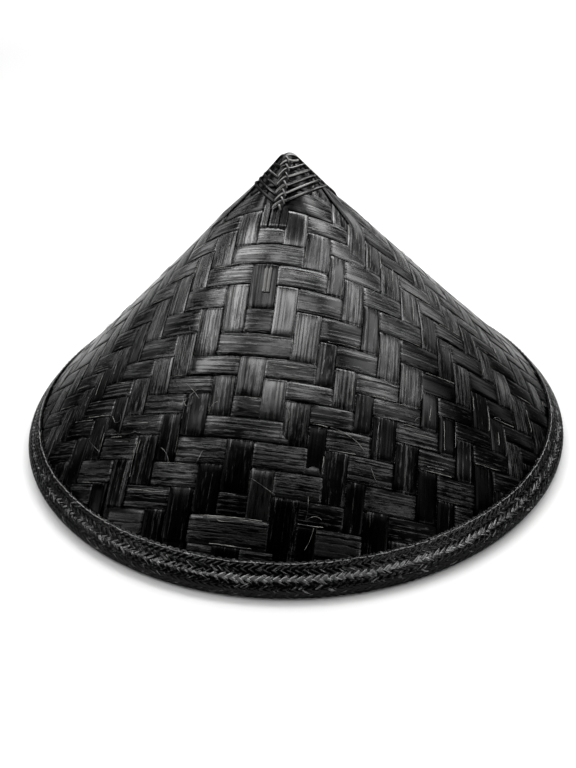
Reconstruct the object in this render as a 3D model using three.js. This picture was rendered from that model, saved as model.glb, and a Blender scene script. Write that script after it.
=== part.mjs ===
import * as THREE from "three";

// A cone-shaped hat woven from flat bamboo strips and dyed black.
// The crown is a thin hollow cone. A braided band is folded over its lower edge,
// and three split-cane ribs with a wound strand bind its tip.
// Units are millimetres, +Z is up, and the hat stands on z = 0, centred on the origin.
// Three seams run down from the tip. The front one points along -Y.

// Driving dimensions
const apexHeight = 205.5; // where the cone's straight sides would meet in a point
const bandTopRadius = 190.2; // upper edge of the band
const bandTopHeight = 20.5;
const rimRadius = 200; // where the band stands on the floor
const coneSag = 1.6; // how far the side dips inwards between tip and band
const bandSwell = 6.7; // how far the band bulges between its upper edge and the floor
const crownWall = 2;
const bandWall = 1.8;
const bandEdgeWall = 0.8; // the band thins towards its upper edge
const bandInsideReach = 12; // how far the band covers the inside of the cone above the bend
const rimSole = 3.5; // width of the flat ring that stands on the floor
const fitGap = 0.3;
const segments = 72;

const tipRadius = 7;
const tipPinch = 2; // how far the lashing pulls the cone in
const pinchFadesFrom = 38; // distances down the side are measured from the sharp point
const pinchGoneAt = 68;
const pinchMiddle = (pinchFadesFrom + pinchGoneAt) / 2;
const tipLean = 1.8; // the tip leans this far towards the right seam
const leanStart = 58; // the lean grows from this distance down the side

const ribWidth = 6.4;
const ribHeight = 1.4;
const ribRounding = 0.4;
const ribEdgeRise = 0.3; // a rib is flat across, so its edges stand this much further off the cone
const ribEnd = 46; // where a rib goes under the weave
const ribStart = 5.6; // the front and left ribs stop beside the right one
const ribOverTip = 2; // the right rib crosses the tip by this much
const tailStart = 82.5; // where the front rib's end comes out of the weave
const tailEnd = 100;
const tailWidth = 5.6;
const tailHeight = 1;

const strandRadius = 0.6;
const strandSides = 5;
const strandStep = 2.8;
const lashingStart = 13.8; // distance down a rib of the first crossing
const lashingPitch = 5.5;
const lashingTurns = 5;

const seams = { front: 0, right: (2 * Math.PI) / 3, left: (4 * Math.PI) / 3 };
const seamCount = 3;
const frontDirection = -Math.PI / 2;

// The straight cone under the outline, as directions in the plane of radius and height
const coneDrop = apexHeight - bandTopHeight;
const sideLength = Math.hypot(bandTopRadius, coneDrop);
const sideDown = new THREE.Vector2(bandTopRadius, -coneDrop).normalize();
const sideOut = new THREE.Vector2(-sideDown.y, sideDown.x);
const halfAngle = Math.atan2(bandTopRadius, coneDrop);
const tipArcEnd = (tipRadius + tipPinch) / Math.tan(halfAngle);
const tipCentreHeight = apexHeight - (tipRadius + tipPinch) / Math.sin(halfAngle);

function spread(from, to, count) {
  return Array.from({ length: count }, (_, i) => from + ((to - from) * i) / (count - 1));
}

// A point at a height above the crown's outer face, by its distance down the side.
// A distance below zero lies across the tip.
function aboveCrown(distance, height = 0) {
  if (distance < tipArcEnd) {
    const turn = (distance / tipArcEnd) * (Math.PI / 2 - halfAngle);
    const reach = tipRadius + height;
    return new THREE.Vector2(reach * Math.sin(turn), tipCentreHeight + reach * Math.cos(turn));
  }
  const sag = coneSag * Math.sin((Math.PI * (distance - tipArcEnd)) / (sideLength - tipArcEnd));
  const pinch = tipPinch * (1 - THREE.MathUtils.smoothstep(distance, pinchFadesFrom, pinchGoneAt));
  const onLine = new THREE.Vector2(0, apexHeight).addScaledVector(sideDown, distance);
  return onLine.addScaledVector(sideOut, height - sag - pinch);
}

// The band's outer face, from its upper edge at share 0 to the floor at share 1
const bandEdgeShare = 0.25; // the part of the band that lies thin on the cone

function bandOutline(share) {
  const lift = (bandEdgeWall + fitGap) * Math.max(0, 1 - share / bandEdgeShare);
  const swell = bandSwell * Math.sin(Math.PI * share);
  const radius = bandTopRadius + (rimRadius - bandTopRadius) * share + swell;
  return new THREE.Vector2(radius, bandTopHeight * (1 - share)).addScaledVector(sideOut, lift);
}

function behindBand(share, depth) {
  const step = 0.01;
  const along = bandOutline(share + step).sub(bandOutline(share - step)).normalize();
  return bandOutline(share).add(new THREE.Vector2(along.y, -along.x).multiplyScalar(depth));
}

function bandThickness(share) {
  return THREE.MathUtils.lerp(bandEdgeWall, bandWall, Math.min(1, share / bandEdgeShare));
}

// A point behind the crown's outer face where the band covers it
function underBand(share, depth = 0) {
  return behindBand(share, bandThickness(share) + fitGap + depth);
}

// The lean grows in proportion to height.
// A geometry that is drawn for another direction gives it as facing.
const leanFrom = apexHeight + sideDown.y * leanStart;

function leaned(geometry, facing = 0) {
  const direction = frontDirection + seams.right - facing;
  const position = geometry.getAttribute("position");
  for (let i = 0; i < position.count; i += 1) {
    const share = Math.max(0, (position.getZ(i) - leanFrom) / (apexHeight - leanFrom));
    position.setX(i, position.getX(i) + tipLean * share * Math.cos(direction));
    position.setY(i, position.getY(i) + tipLean * share * Math.sin(direction));
  }
  return geometry;
}

function turned(profile) {
  return new THREE.LatheGeometry(profile, segments).rotateX(Math.PI / 2);
}

// The woven cone: one shell, open below, whose edge bends down inside the band
const crownEdgeShare = 0.84;

function crownFace(depth) {
  const tip = spread(0, tipArcEnd, 3).map((distance) => aboveCrown(distance, -depth));
  const side = [pinchFadesFrom, pinchMiddle, pinchGoneAt, 120, 195, sideLength].map((distance) =>
    aboveCrown(distance, -depth),
  );
  const edge = spread(0.15, crownEdgeShare, 4).map((share) => underBand(share, depth));
  return [...tip, ...side, ...edge];
}

function crown() {
  return leaned(turned([...crownFace(crownWall), ...crownFace(0).reverse()]));
}

// The braided band: an open loop in section, which holds the crown's edge
function rimBand() {
  const slotShares = spread(0, crownEdgeShare + 0.05, 5);
  const insideShares = spread(0.95, 0.3, 4);
  const slotDepth = crownWall + fitGap;
  const innerDepth = slotDepth + bandWall;
  const innerTop = sideLength - bandInsideReach;

  const outerFace = spread(0, 1, 8).map(bandOutline);
  const sole = new THREE.Vector2(rimRadius - rimSole, 0);
  const innerFace = insideShares.map((share) => underBand(share, innerDepth));
  const innerEdge = [aboveCrown(innerTop, -innerDepth), aboveCrown(innerTop, -slotDepth)];
  const slotInner = slotShares.map((share) => underBand(share, slotDepth));
  const slotOuter = slotShares.map((share) => behindBand(share, bandThickness(share)));
  const profile = [...outerFace, sole, ...innerFace, ...innerEdge, ...slotInner, ...slotOuter.reverse()];
  return turned([...profile, profile[0]].reverse());
}

// A split cane that lies along a seam, between two distances down the side
function cane(from, to, width, height) {
  const bends = [0, tipArcEnd / 2, tipArcEnd];
  const distances = [from, ...bends.filter((bend) => bend > from && bend < to), to];
  const underside = distances.map((distance) => aboveCrown(distance, fitGap));
  const top = distances.map((distance) => aboveCrown(distance, fitGap + height));
  const geometry = new THREE.ExtrudeGeometry(new THREE.Shape([...underside, ...top.reverse()]), {
    depth: width - 2 * ribRounding,
    bevelThickness: ribRounding,
    bevelSize: ribRounding,
    bevelOffset: -ribRounding,
    bevelSegments: 1,
  });
  return geometry.translate(0, 0, ribRounding - width / 2).rotateX(Math.PI / 2);
}

// The strand runs straight across each panel of the unrolled cone, from seam to seam.
// The cone unrolls to three quarter circles, so a panel's corner is square there.
const crossRib = [0, 2.2, 4, 5.3, 6.6]; // distances beside a rib where the strand's height is set
const openStep = 4; // spacing of the points between two ribs

function strandHeight(besideRib) {
  const overRib = fitGap + ribHeight + ribEdgeRise;
  const onRib = 1 - THREE.MathUtils.smoothstep(besideRib, crossRib[2], crossRib[4]);
  return fitGap + strandRadius + overRib * onRib;
}

function panelPoints(panel) {
  const start = lashingStart + (lashingPitch * panel) / seamCount;
  const end = start + lashingPitch / seamCount;
  const onRib = crossRib.map((beside) => beside / end);
  const offRib = crossRib.slice(1).map((beside) => 1 - beside / start).reverse();
  const open = offRib[0] - onRib.at(-1);
  const between = spread(onRib.at(-1), offRib[0], 2 + Math.round((open * start * Math.SQRT2) / openStep));
  const shares = [...onRib, ...between.slice(1, -1), ...offRib];
  return shares.map((share) => {
    const across = end * share;
    const down = start * (1 - share);
    const turn = (Math.atan2(across, down) / (Math.PI / 2) + panel) * seams.right;
    const point = aboveCrown(Math.hypot(across, down), strandHeight(Math.min(across, down)));
    const direction = frontDirection + turn;
    return new THREE.Vector3(point.x * Math.cos(direction), point.x * Math.sin(direction), point.y);
  });
}

function lashing() {
  const panels = spread(0, lashingTurns * seamCount - 1, lashingTurns * seamCount);
  const path = new THREE.CatmullRomCurve3(panels.flatMap(panelPoints));
  const section = new THREE.Shape(
    spread(0, strandSides - 1, strandSides).map((corner) => {
      const angle = (2 * Math.PI * corner) / strandSides;
      return new THREE.Vector2(Math.cos(angle), Math.sin(angle)).multiplyScalar(strandRadius);
    }),
  );
  const steps = Math.round(path.getLength() / strandStep);
  return leaned(new THREE.ExtrudeGeometry(section, { extrudePath: path, steps }));
}

// Finishes
const blackBamboo = new THREE.MeshStandardMaterial({ color: 0x1b1b1c, roughness: 0.42, metalness: 0 });
const blackBraid = new THREE.MeshStandardMaterial({ color: 0x1e1e1f, roughness: 0.5, metalness: 0 });
const blackCane = new THREE.MeshStandardMaterial({ color: 0x222223, roughness: 0.4, metalness: 0 });

function piece(name, geometry, material) {
  const mesh = new THREE.Mesh(geometry, material);
  mesh.name = name;
  return mesh;
}

const hat = new THREE.Group();
hat.add(piece("crown", crown(), blackBamboo));
hat.add(piece("rim_band", rimBand(), blackBraid));

const tip = new THREE.Group();
tip.add(piece("tip_lashing", lashing(), blackCane));
for (const [side, turn] of Object.entries(seams)) {
  const from = side === "right" ? -ribOverTip : ribStart;
  const facing = frontDirection + turn;
  const rib = piece("tip_rib_" + side, leaned(cane(from, ribEnd, ribWidth, ribHeight), facing), blackCane);
  rib.rotation.z = facing;
  tip.add(rib);
}
const tail = piece("rib_tail_front", cane(tailStart, tailEnd, tailWidth, tailHeight), blackCane);
tail.rotation.z = frontDirection;
tip.add(tail);
hat.add(tip);

export default hat;
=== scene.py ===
import math
from functools import partial

import bpy
import numpy as np
from mathutils import Matrix, Vector


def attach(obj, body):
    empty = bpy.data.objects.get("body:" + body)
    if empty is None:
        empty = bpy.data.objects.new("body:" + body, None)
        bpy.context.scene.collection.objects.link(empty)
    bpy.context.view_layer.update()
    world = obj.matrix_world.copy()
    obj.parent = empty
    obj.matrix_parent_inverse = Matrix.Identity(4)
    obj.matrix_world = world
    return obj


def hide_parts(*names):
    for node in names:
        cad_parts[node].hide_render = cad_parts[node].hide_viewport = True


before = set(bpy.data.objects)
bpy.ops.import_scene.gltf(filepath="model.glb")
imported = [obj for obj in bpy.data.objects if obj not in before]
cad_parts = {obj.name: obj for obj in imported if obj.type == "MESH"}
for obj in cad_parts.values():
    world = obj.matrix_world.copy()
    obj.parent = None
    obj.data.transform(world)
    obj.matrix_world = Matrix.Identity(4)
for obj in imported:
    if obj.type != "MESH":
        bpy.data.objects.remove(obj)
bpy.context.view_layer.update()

MM = 0.001

# The crown's outer face
APEX_HEIGHT = 205.5
BAND_TOP_RADIUS = 190.2
BAND_TOP_HEIGHT = 20.5
RIM_RADIUS = 200
CONE_SAG = 1.6
BAND_SWELL = 6.7
CROWN_WALL = 2
BAND_WALL = 1.8
BAND_EDGE_WALL = 0.8
BAND_EDGE_SHARE = 0.25
BAND_INSIDE_REACH = 12
FIT_GAP = 0.3
TIP_RADIUS = 7
TIP_PINCH = 2
PINCH_FADES_FROM = 38
PINCH_GONE_AT = 68
TIP_LEAN = 1.8
LEAN_START = 58

CONE_DROP = APEX_HEIGHT - BAND_TOP_HEIGHT
SIDE_LENGTH = math.hypot(BAND_TOP_RADIUS, CONE_DROP)
SIDE_DOWN = np.array([BAND_TOP_RADIUS, -CONE_DROP]) / SIDE_LENGTH
SIDE_OUT = np.array([-SIDE_DOWN[1], SIDE_DOWN[0]])
HALF_ANGLE = math.atan2(BAND_TOP_RADIUS, CONE_DROP)
TIP_ARC_END = (TIP_RADIUS + TIP_PINCH) / math.tan(HALF_ANGLE)
TIP_CENTRE_HEIGHT = APEX_HEIGHT - (TIP_RADIUS + TIP_PINCH) / math.sin(HALF_ANGLE)
LEAN_FROM = APEX_HEIGHT + SIDE_DOWN[1] * LEAN_START

# The cone unrolls to three quarter circles, so a panel between two seams has a square corner.
# On the unrolled mat, each family of strips runs at right angles to its own seam.
SEAM_TURN = 2 * math.pi / 3
PANEL_CORNER = math.pi / 2
FRONT_DIRECTION = -math.pi / 2
LEAN_DIRECTION = FRONT_DIRECTION + SEAM_TURN


def smoothstep(value, low, high):
    share = np.clip((value - low) / (high - low), 0, 1)
    return share * share * (3 - 2 * share)


def unit(vectors):
    return vectors / np.linalg.norm(vectors, axis=-1, keepdims=True)


def band_outline(share):
    """The band's outer face, as radius and height, from its upper edge at 0 to the floor at 1."""
    share = np.asarray(share, float)
    lift = (BAND_EDGE_WALL + FIT_GAP) * np.maximum(0, 1 - share / BAND_EDGE_SHARE)
    swell = BAND_SWELL * np.sin(np.pi * share)
    radius = BAND_TOP_RADIUS + (RIM_RADIUS - BAND_TOP_RADIUS) * share + swell
    line = np.stack([radius, BAND_TOP_HEIGHT * (1 - share)], axis=-1)
    return line + lift[..., None] * SIDE_OUT


def behind_band(share, depth):
    share = np.asarray(share, float)
    step = 0.01
    along = unit(band_outline(share + step) - band_outline(share - step))
    inward = np.stack([along[..., 1], -along[..., 0]], axis=-1)
    return band_outline(share) + inward * np.asarray(depth)[..., None]


def band_thickness(share):
    return BAND_EDGE_WALL + (BAND_WALL - BAND_EDGE_WALL) * np.minimum(1, share / BAND_EDGE_SHARE)


def under_band(share, depth):
    return behind_band(share, band_thickness(share) + FIT_GAP + depth)


BAND_ARC = float(np.linalg.norm(np.diff(band_outline(np.linspace(0, 1, 50)), axis=0), axis=1).sum())


def crown_profile(distance, height):
    """Radius and height of a point over the crown's outer face, by its distance down the side."""
    distance, height = np.broadcast_arrays(np.asarray(distance, float), np.asarray(height, float))
    turn = np.clip(distance / TIP_ARC_END, -1, 1) * (math.pi / 2 - HALF_ANGLE)
    reach = TIP_RADIUS + height
    on_tip = np.stack([reach * np.sin(turn), TIP_CENTRE_HEIGHT + reach * np.cos(turn)], axis=-1)
    sag = CONE_SAG * np.sin(np.pi * (distance - TIP_ARC_END) / (SIDE_LENGTH - TIP_ARC_END))
    pinch = TIP_PINCH * (1 - smoothstep(distance, PINCH_FADES_FROM, PINCH_GONE_AT))
    on_line = np.array([0, APEX_HEIGHT]) + distance[..., None] * SIDE_DOWN
    on_side = on_line + (height - sag - pinch)[..., None] * SIDE_OUT
    on_edge = under_band((distance - SIDE_LENGTH) / BAND_ARC, -height)
    side_or_edge = np.where((distance > SIDE_LENGTH)[..., None], on_edge, on_side)
    return np.where((distance < TIP_ARC_END)[..., None], on_tip, side_or_edge)


def around(profile, turn):
    """Turns radius and height about the hat's axis, and leans what is near the tip."""
    turn = np.asarray(turn) + FRONT_DIRECTION
    radius, height = profile[..., 0], profile[..., 1]
    lean = TIP_LEAN * np.maximum(0, (height - LEAN_FROM) / (APEX_HEIGHT - LEAN_FROM))
    x = radius * np.cos(turn) + lean * math.cos(LEAN_DIRECTION)
    y = radius * np.sin(turn) + lean * math.sin(LEAN_DIRECTION)
    return np.stack([x, y, height], axis=-1)


DENT_REACH = 0.45
# Waves of the dents: how many go round the hat, the distance down the side per radian, and phase
DENT_WAVES = ((3, 37, 0.6), (5, -29, 2.1))
DENTS_BEGIN = (60, 120)
DENTS_END = (220, 258)


def dents(distance, turn):
    """Slow unevenness of the woven cone. All that lies on the cone follows it."""
    wave = sum(np.sin(number * turn + distance / span + phase) for number, span, phase in DENT_WAVES)
    fade = smoothstep(distance, *DENTS_BEGIN) * (1 - smoothstep(distance, *DENTS_END))
    return DENT_REACH / 2 * wave * fade


def on_mat(seam, across_seam, along_seam, height):
    """A point over the crown, by its place on the unrolled mat beside one seam."""
    distance = np.hypot(across_seam, along_seam)
    turn = (np.arctan2(across_seam, along_seam) / PANEL_CORNER + seam) * SEAM_TURN
    return around(crown_profile(distance, height + dents(distance, turn)), turn)


def add_object(name, data):
    made = bpy.data.objects.new(name, data)
    bpy.context.scene.collection.objects.link(made)
    return made


# Joined meshes made from arrays
CREASE_ANGLE = math.radians(50)


class Ribbons:
    """Gathers closed strips, each a ring of points repeated along it, and makes one mesh of them."""

    def __init__(self):
        self.places, self.fibres, self.tones = [], [], []
        self.edges, self.faces, self.sizes = [], [], []
        self.count = 0

    def add(self, places, across, along, seed, tone):
        """places is rows x ring x 3. across and along are millimetres on the strip, for its grain.
        seed is any number of the strip's own, and sets its grain apart from the others'."""
        rows, ring = places.shape[:2]
        index = self.count + np.arange(rows * ring).reshape(rows, ring)
        beside = np.roll(index, -1, axis=1)
        quads = np.stack([index[:-1], beside[:-1], beside[1:], index[1:]], axis=-1)
        self.faces += [quads.ravel(), index[0, ::-1], index[-1]]
        self.sizes += [np.full((rows - 1) * ring, 4), [ring, ring]]
        across = np.broadcast_to(across, (rows, ring))
        along = np.broadcast_to(along[:, None], (rows, ring))
        fibre = np.stack([across, along, np.full((rows, ring), seed)], axis=-1)
        self.places.append(places.reshape(-1, 3))
        self.fibres.append(fibre.reshape(-1, 3))
        self.tones.append(np.broadcast_to(tone, (rows,)).repeat(ring))
        self.edges.append((np.abs(across) / np.abs(across).max(axis=1, keepdims=True)).ravel())
        self.count += rows * ring

    def build(self, name, material, slot, replaces):
        mesh = bpy.data.meshes.new(name)
        mesh.materials.append(material)
        corners = np.concatenate(self.faces).astype(np.int32)
        sizes = np.concatenate(self.sizes).astype(np.int32)
        fibres = np.concatenate(self.fibres)
        mesh.vertices.add(self.count)
        mesh.vertices.foreach_set("co", (np.concatenate(self.places) * MM).ravel())
        mesh.loops.add(len(corners))
        mesh.loops.foreach_set("vertex_index", corners)
        mesh.polygons.add(len(sizes))
        mesh.polygons.foreach_set("loop_start", np.cumsum(sizes) - sizes)
        mesh.polygons.foreach_set("loop_total", sizes)
        fibre = mesh.attributes.new("fibre", "FLOAT_VECTOR", "POINT")
        fibre.data.foreach_set("vector", fibres.ravel())
        for label, values in (("tone", self.tones), ("edge", self.edges)):
            mesh.attributes.new(label, "FLOAT", "POINT").data.foreach_set("value", np.concatenate(values))
        grain = mesh.uv_layers.new(name="grain")
        grain.uv.foreach_set("vector", fibres[corners][:, :2].ravel())
        mesh.update(calc_edges=True)
        mesh.shade_smooth()
        mesh.set_sharp_from_angle(angle=CREASE_ANGLE)
        piece = add_object(name, mesh)
        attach(piece, "root")
        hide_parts(*replaces)


WANDER_RATIOS = (1, 0.47, 0.23)  # of the waves' lengths, and of their heights


def wander(rng, reach, span):
    """A slow random curve about zero, for the unevenness of split bamboo."""
    waves = [(ratio, rng.uniform(0, 2 * np.pi)) for ratio in WANDER_RATIOS]
    scale = reach / sum(ratio for ratio, _ in waves)
    return lambda at: scale * sum(r * np.sin(2 * np.pi * at / (span * r) + phase) for r, phase in waves)


# The weave. Each row of the chart is one family's strip edges, as distances down its own seam.
# The front family and the upper strips of the others follow the photograph.
FRONT, RIGHT, LEFT = 0, 1, 2
STRIP_EDGES = {
    FRONT: [12, 26.8, 43.4, 55.7, 67.8, 81.5, 95.4, 110.8, 127.5, 142.5, 155.6, 167.5, 181, 194.9,
            211.3, 226.9, 241.4, 258.9, 272],
    RIGHT: [6.6, 22.3, 39.9, 52, 67.3, 80, 96.6, 113.2, 126.9],
    LEFT: [11.9, 28.5, 46.1, 61.3, 78.4, 95],
}
STRIP_PITCH = 14.5  # of the strips that the chart leaves out
PITCH_JITTER = 1.6
MAT_END = SIDE_LENGTH + 8
STRIP_GAP = 0.55
GAP_WANDER, GAP_SPAN = 0.14, 60
EDGE_WANDER, EDGE_SPAN = 0.35, 130
SEAM_WANDER = 0.3
WEAVE_REACH = 0.32  # how far a strip's middle rises and falls
WEAVE_DEPTH = 0.75  # the mat's middle lies this far under the crown's outer face
BEND = 1.3  # a strip goes from over to under within this much either side of an edge
FLOAT_BULGE = 0.13
BOW_REACH, BOW_SPAN = 0.05, 70
TILT = 0.016  # the most that one float slopes across
STRIP_STEP = 3.6
SEAM_FROM = 2  # where the seam strips start

# Tones make a strip, or a place on it, paler above zero and duller below
LASHING_SHADE_TONE = 5  # painted shade: the weave is darker by this under the lashing, which ends between two distances
LASHED_TO = (34, 42)
STEEP_SHADE_TONE = 2.1  # and darker by this, as painted shade, where a strip runs up and down the lower half
STEEP_SLOPES = (0.3, 0.6)
STEEP_HEIGHTS = (62, 104)
# Tones of single rows. Front rows 4 and 5 are a painted highlight on the floats at the top of the front;
# right rows 1 and 2 are paler near the tip
ROW_TONES_AND_HIGHLIGHTS = {(FRONT, 5): 1.8, (FRONT, 4): 0.8, (RIGHT, 1): 3, (RIGHT, 2): 1}
LIFTED_HIGHLIGHT_TONE = 30  # painted highlight: paler by this for each unit of slope where an edge stands up
LIFTED = (
    # family and row of a strip, where along it one edge stands up, reach either side, and slope
    (FRONT, 10, -38, 10, 0.16),
    (FRONT, 11, 36, 9, 0.13),
    (FRONT, 13, 24, 8, 0.08),
    (FRONT, 14, 46, 8, 0.08),
    (FRONT, 13, -104, 8, 0.1),
    (RIGHT, 13, -108, 12, 0.12),
)


def fill_chart():
    """Carries the two shorter rows of the chart on to the mat's edge."""
    for family in (RIGHT, LEFT):
        rng = np.random.default_rng(10 + family)
        edges = STRIP_EDGES[family]
        while edges[-1] < MAT_END - STRIP_PITCH / 2:
            edges.append(edges[-1] + STRIP_PITCH + rng.uniform(-PITCH_JITTER, PITCH_JITTER))


fill_chart()


def is_over(family, row, other, crossing):
    """Whether a family's strip lies over another's. Every float spans two strips."""
    if family == FRONT:
        return (row - crossing) % 4 in (0, 1)
    if (family, other) == (RIGHT, LEFT):
        return (row - crossing) % 4 in (1, 2)
    return not is_over(other, crossing, family, row)


def is_over_seam(family, row):
    return row % 4 in ((0, 1) if family == FRONT else (1, 2))


def crossings(family, row):
    """Where a strip meets others along its length, as (from, to, over)."""
    after, before = (family + 1) % 3, (family + 2) % 3
    ahead = STRIP_EDGES[after]
    behind = STRIP_EDGES[before]
    met = [(-behind[0], ahead[0], is_over_seam(family, row))]
    for number in range(1, len(ahead)):
        met.append((ahead[number - 1], ahead[number], is_over(family, row, after, number)))
    for number in range(1, len(behind)):
        met.insert(0, (-behind[number], -behind[number - 1], is_over(family, row, before, number)))
    return met


def floats(met):
    """Joins neighbouring crossings on the same side into (from, to, side)."""
    runs = []
    for low, high, over in met:
        side = 1 if over else -1
        if runs and runs[-1][2] == side:
            runs[-1][1] = high
        else:
            runs.append([low, high, side])
    return runs


def rise(at, runs, rng):
    """The height of a strip's middle along it, its cross tilt, and its tone, from its floats."""
    height = np.full_like(at, runs[0][2] * WEAVE_REACH)
    lean = np.zeros_like(at)
    tone = np.zeros_like(at)
    for number, (low, high, side) in enumerate(runs):
        share = np.clip((at - low) / (high - low), 0, 1)
        arch = np.sin(np.pi * share)
        if number:
            bend = np.clip((at - low) / BEND, -1, 1)
            height += side * WEAVE_REACH * (1 + np.sin(np.pi / 2 * bend))
        height += side * FLOAT_BULGE * arch
        lean += rng.uniform(-TILT, TILT) * arch
        inside = (at >= low) & (at < high)
        tone[inside] = rng.uniform(-1, 1)
    return height, lean, tone


def stations(runs, low, high):
    """Places along a strip: close together where it bends over or under, and wider between."""
    bends = [run[0] for run in runs[1:] if low + STRIP_STEP < run[0] < high - STRIP_STEP]
    near_bends = [bend + BEND * share for bend in bends for share in (-1, -0.5, 0, 0.5, 1)]
    places = [low]
    for there in near_bends + [high]:
        count = max(1, round((there - places[-1]) / STRIP_STEP))
        places += list(np.linspace(places[-1], there, count + 1)[1:])
    return np.array(places)


# Across a strip: where its section's points are, and their heights over its middle
SECTION_ACROSS = np.array([-1, -0.94, -0.6, -0.2, 0.2, 0.6, 0.94, 1, 0.9, 0, -0.9])
SECTION_HEIGHT = np.array([-0.05, 0.22, 0.28, 0.3, 0.3, 0.28, 0.22, -0.05, -0.25, -0.25, -0.25])
SECTION_TOP = 3  # the point that stands for the strip's middle


def steep_shade(places):
    """Painted shade: how much darker a strip is made, by how steeply it runs and how low it lies."""
    middle = places[:, SECTION_TOP]
    along = unit(np.gradient(middle, axis=0))
    steep = smoothstep(np.abs(along[:, 2]), *STEEP_SLOPES)
    return STEEP_SHADE_TONE * steep * (1 - smoothstep(middle[:, 2], *STEEP_HEIGHTS))


def strip(ribbons, seam, at, low, high, runs, rng, seed, tone, lifted):
    """One strip of bamboo. low and high are its edges along the seam at each place across it."""
    height, lean, float_tone = rise(at, runs, rng)
    middle = (low + high) / 2
    half = (high - low) / 2
    for place, reach, slope in lifted:
        loose = slope * np.exp(-((at - place) / reach) ** 2)
        lean += loose
        height += loose * half
        # Painted highlight where the edge stands up
        float_tone += LIFTED_HIGHLIGHT_TONE * loose
    across = SECTION_ACROSS * half[:, None]
    bow = wander(rng, BOW_REACH, BOW_SPAN)(at)
    lift = height + bow - WEAVE_DEPTH
    heights = lift[:, None] + SECTION_HEIGHT + lean[:, None] * across
    places = on_mat(seam, at[:, None], middle[:, None] + across, heights)
    # Painted shade under the lashing and on steep strips low down lowers the tone
    under_lashing = 1 - smoothstep(np.hypot(at, middle), *LASHED_TO)
    painted_shade = LASHING_SHADE_TONE * under_lashing + steep_shade(places)
    ribbons.add(places, across, at, seed, tone + 0.5 * float_tone - painted_shade)


def woven_rows(family):
    ribbons = Ribbons()
    rng = np.random.default_rng(100 + family)
    edges = STRIP_EDGES[family]
    curves = [wander(rng, EDGE_WANDER, EDGE_SPAN) for _ in edges]
    for row in range(1, len(edges)):
        reach = math.sqrt(max(0, MAT_END**2 - edges[row] ** 2))
        if reach < STRIP_PITCH:
            continue
        runs = floats(crossings(family, row))
        at = stations(runs, -reach, reach)
        lifted = [loose[2:] for loose in LIFTED if loose[:2] == (family, row)]
        gap = STRIP_GAP / 2 + np.abs(wander(rng, GAP_WANDER, GAP_SPAN)(at))
        low = edges[row - 1] + curves[row - 1](at) + gap
        high = edges[row] + curves[row](at) - gap
        seed = 10 * family + row * 1.37
        tone = rng.uniform(-1, 1) + ROW_TONES_AND_HIGHLIGHTS.get((family, row), 0)
        strip(ribbons, family, at, low, high, runs, rng, seed, tone, lifted)
    return ribbons


NARROW_TO = 56  # the narrow strip ends beside the front rib go under the weave here
ENDS_DEPTH = 0.9  # the seam's own strip lies this much lower under them
TAIL_FROM, TAIL_TO = 79, 100  # where the front rib's own end comes out of the weave
TAIL_SHADE = 3.6  # painted shade: the strip under it is darker by this much


def seam_strips():
    """The strip that lies along each seam, pointed where the three meet at the tip."""
    ribbons = Ribbons()
    for family in (FRONT, RIGHT, LEFT):
        rng = np.random.default_rng(200 + family)
        before, after = (family + 2) % 3, (family + 1) % 3
        edges = STRIP_EDGES[family]
        met = [(0, edges[0], True)]
        for row in range(1, len(edges)):
            met.append((edges[row - 1], edges[row], not is_over_seam(family, row)))
        runs = floats(met)
        at = stations(runs, SEAM_FROM, MAT_END)
        gap = STRIP_GAP / 2
        left = -np.minimum(STRIP_EDGES[before][0] - gap + wander(rng, SEAM_WANDER, EDGE_SPAN)(at), at)
        right = np.minimum(STRIP_EDGES[after][0] - gap + wander(rng, SEAM_WANDER, EDGE_SPAN)(at), at)
        height, lean, float_tone = rise(at, runs, rng)
        middle = (left + right) / 2
        across = SECTION_ACROSS * ((right - left) / 2)[:, None]
        if family == FRONT:
            height = height - ENDS_DEPTH * (1 - smoothstep(at, NARROW_TO - 1, NARROW_TO + 3))
        heights = (height - WEAVE_DEPTH)[:, None] + SECTION_HEIGHT + lean[:, None] * across
        places = on_mat(family, middle[:, None] + across, at[:, None], heights)
        # Painted shade on steep strips low down, as in the woven rows
        tone = 0.5 * float_tone - steep_shade(places)
        # Painted shade on the seam strip beside the rib's end
        if family == FRONT:
            from_tail = smoothstep(at, TAIL_FROM - 1, TAIL_FROM + 2)
            past_tail = smoothstep(at, TAIL_TO + 4, TAIL_TO + 14)
            tone = tone - TAIL_SHADE * (from_tail - past_tail)
        ribbons.add(places[:, ::-1], across[:, ::-1], at, 61.7 + family, tone)
    return ribbons


# Narrow strips and strands that are swept along a path
def smooth_path(points, step):
    """A curve through the points, at about even steps. It rounds the corners between them."""
    points = np.asarray(points, float)
    before = np.vstack([2 * points[0] - points[1], points[:-1]])
    ends = np.vstack([points[1:], 2 * points[-1] - points[-2]])
    slopes = (ends - before) / 2
    pieces = []
    for here, there, leaving, arriving in zip(points, points[1:], slopes, slopes[1:]):
        length = np.linalg.norm((there - here)[:3])
        t = np.linspace(0, 1, max(2, round(length / step) + 1))[:-1, None]
        curve = (2 * t**3 - 3 * t**2 + 1) * here + (t**3 - 2 * t**2 + t) * leaving
        curve += (3 * t**2 - 2 * t**3) * there + (t**3 - t**2) * arriving
        pieces.append(curve)
    return np.vstack(pieces + [points[-1:]])


FLAT_STRAND = (np.array([-1, -0.85, -0.45, 0, 0.45, 0.85, 1, 0.6, -0.6]),
               np.array([-0.2, 0.4, 0.85, 1, 0.85, 0.4, -0.2, -1, -1]))
ROUND_STRAND = (np.array([-1, -0.6, 0, 0.6, 1, 0]), np.array([0, 0.75, 1, 0.75, 0, -1]))


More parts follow.
